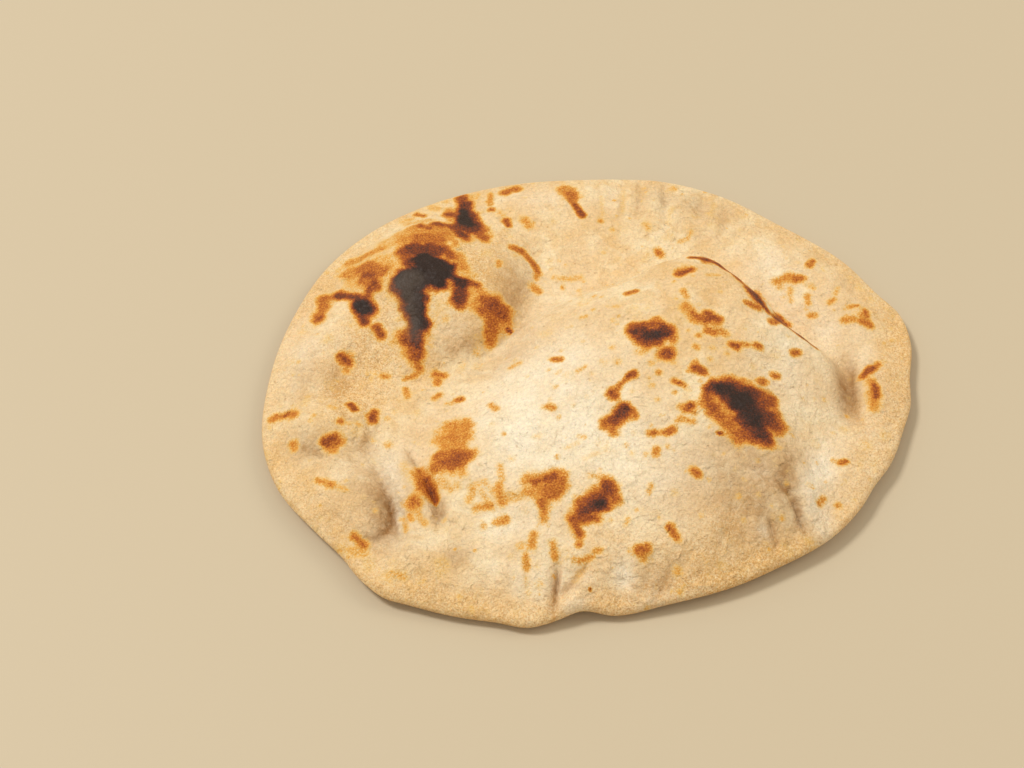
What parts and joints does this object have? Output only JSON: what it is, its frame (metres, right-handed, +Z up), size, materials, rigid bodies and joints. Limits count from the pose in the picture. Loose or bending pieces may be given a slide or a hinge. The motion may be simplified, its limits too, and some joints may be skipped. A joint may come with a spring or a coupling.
{
  "type": "tandoori roti flatbread",
  "caption": "Oval puffed flatbread with a large domed blister, a broad pillow beside it, smaller blisters, toasted spots and a rounded rim, resting on its flat underside.",
  "frame": {"origin": "centre of the bread's bounding box in plan, at the height of the surface that it rests on", "axes": "+Z up, through the thin way of the bread; +X along its longest extent; +Y across it, towards the side with the steep back of the dome"},
  "size_m": [0.2712, 0.2324, 0.0351],
  "materials": {
    "crust": "matt baked wheat dough: floury cream with golden freckles, brown and black toasted spots, and a grainy golden rim"
  },
  "bodies": {
    "root": {"roti": "crust"}
  },
  "joints": []
}
